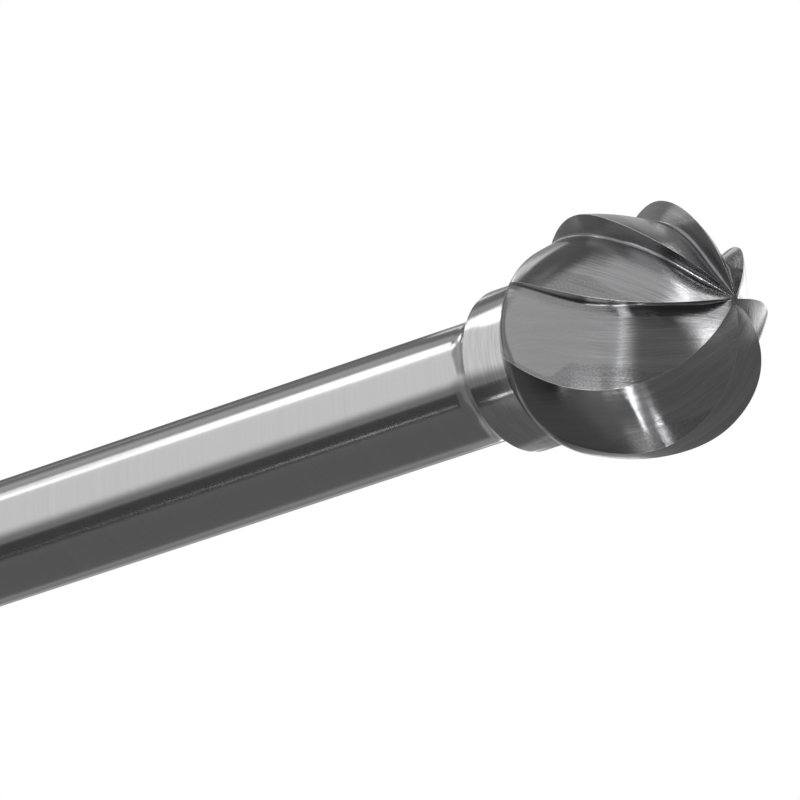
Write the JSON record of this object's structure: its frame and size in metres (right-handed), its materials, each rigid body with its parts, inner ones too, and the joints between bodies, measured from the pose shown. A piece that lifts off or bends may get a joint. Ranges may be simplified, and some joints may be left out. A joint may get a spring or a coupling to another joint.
{
  "type": "carbide burr",
  "caption": "Rotary cutting burr with a fluted ball head of carbide brazed to a stepped round steel shank.",
  "frame": {"origin": "centre of the shank's flat free end, which is the lowest face", "axes": "+Z along the tool's axis, from the shank's free end towards the ball's tip; -Y is the side that the picture looks at"},
  "size_m": [0.0122, 0.0122, 0.0562],
  "materials": {
    "ground_steel": "centreless-ground bright steel, fine rings round the shank, coarser rings on the collar",
    "braze_filler": "thin dull line of silver-brass braze, ground flush",
    "ground_carbide": "darker grey cemented carbide, ground along the flutes, sharp bright edges"
  },
  "bodies": {
    "root": {"steel_shank": "ground_steel", "braze_joint": "braze_filler", "carbide_head": "ground_carbide"}
  },
  "joints": []
}
